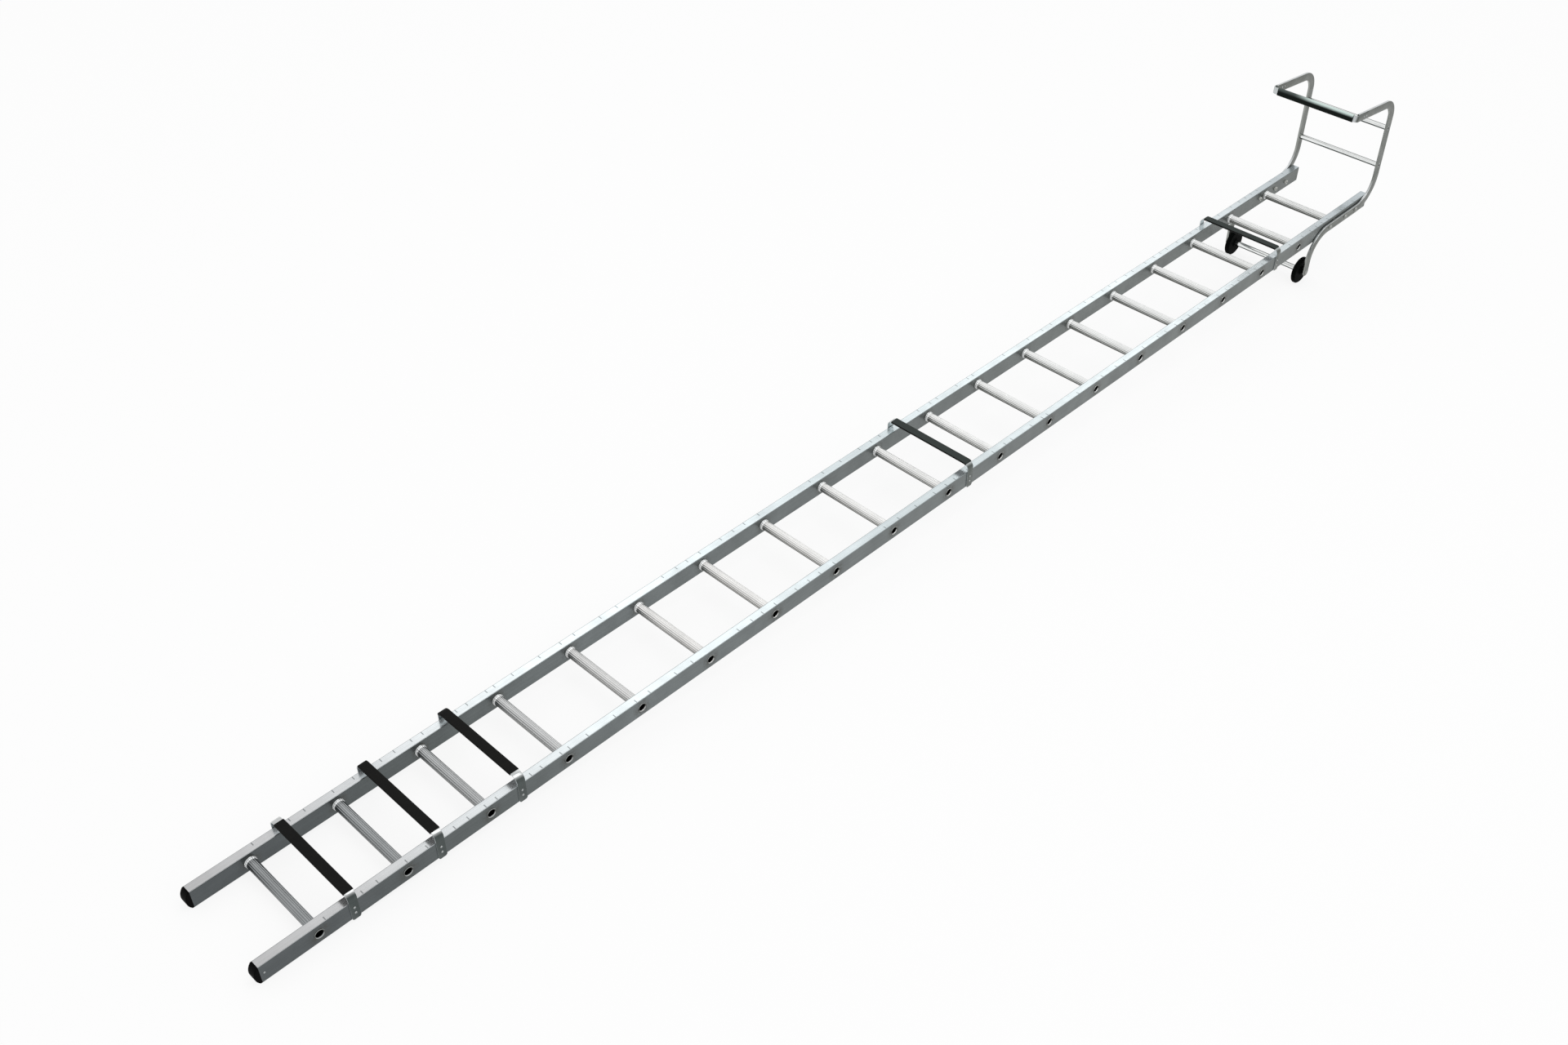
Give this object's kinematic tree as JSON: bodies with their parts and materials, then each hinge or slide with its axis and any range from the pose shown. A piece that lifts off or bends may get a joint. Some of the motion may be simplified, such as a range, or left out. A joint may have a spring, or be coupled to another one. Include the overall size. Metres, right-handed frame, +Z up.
{
  "type": "roof ladder",
  "caption": "Aluminium roof ladder with fluted rungs, sleeved bearers, a ridge hook of bent flat bar and a pair of wheels under it.",
  "frame": {"origin": "on the ground, midway between the two ends and the two sides, with the ladder lying on its foot caps and wheels and its hook upward", "axes": "+X across the ladder, +Y along the ground from the foot to the hook, +Z up"},
  "size_m": [0.358, 5.0126, 0.6648],
  "materials": {
    "stile_aluminium": "mill-finish extrusion, satin, light handling marks",
    "rung_aluminium": "fluted extrusion, satin",
    "foot_cap_rubber": "matte black moulding",
    "strap_aluminium": "bright brushed flat bar",
    "sleeve_rubber": "semi-gloss black extruded sleeve",
    "hook_aluminium": "satin grey bent flat bar",
    "tube_aluminium": "bright drawn round tube",
    "zinc_plated_steel": "zinc plated",
    "wheel_nylon": "matte black moulding",
    "collar_nylon": "matte black moulding"
  },
  "bodies": {
    "frame": {"axle_collars": "collar_nylon", "axle_rod": "zinc_plated_steel", "axle_tube": "tube_aluminium", "bearer_sleeve_1": "sleeve_rubber", "bearer_sleeve_2": "sleeve_rubber", "bearer_sleeve_3": "sleeve_rubber", "bearer_sleeve_4": "sleeve_rubber", "bearer_sleeve_5": "sleeve_rubber", "bearer_strap_1": "strap_aluminium", "bearer_strap_2": "strap_aluminium", "bearer_strap_3": "strap_aluminium", "bearer_strap_4": "strap_aluminium", "bearer_strap_5": "strap_aluminium", "foot_cap_left": "foot_cap_rubber", "foot_cap_right": "foot_cap_rubber", "hook_bar_sleeve": "sleeve_rubber", "hook_bar_strap": "strap_aluminium", "hook_bolts": "zinc_plated_steel", "hook_cross_tube_lower": "tube_aluminium", "hook_cross_tube_upper": "tube_aluminium", "hook_nuts": "zinc_plated_steel", "hook_packers": "zinc_plated_steel", "hook_rail_left": "hook_aluminium", "hook_rail_right": "hook_aluminium", "rung_01": "rung_aluminium", "rung_02": "rung_aluminium", "rung_03": "rung_aluminium", "rung_04": "rung_aluminium", "rung_05": "rung_aluminium", "rung_06": "rung_aluminium", "rung_07": "rung_aluminium", "rung_08": "rung_aluminium", "rung_09": "rung_aluminium", "rung_10": "rung_aluminium", "rung_11": "rung_aluminium", "rung_12": "rung_aluminium", "rung_13": "rung_aluminium", "rung_14": "rung_aluminium", "rung_15": "rung_aluminium", "rung_16": "rung_aluminium", "rung_17": "rung_aluminium", "rung_18": "rung_aluminium", "rung_19": "rung_aluminium", "stile_left": "stile_aluminium", "stile_right": "stile_aluminium"},
    "wheel_left": {"wheel_left": "wheel_nylon"},
    "wheel_right": {"wheel_right": "wheel_nylon"}
  },
  "joints": [
    {"name": "wheel_left_spin", "type": "hinge", "parent": "frame", "child": "wheel_left", "pos_m": [0, 2.07902, 0.052], "axis": [1, 0, 0], "continuous": true},
    {"name": "wheel_right_spin", "type": "hinge", "parent": "frame", "child": "wheel_right", "pos_m": [0, 2.07902, 0.052], "axis": [1, 0, 0], "continuous": true}
  ]
}
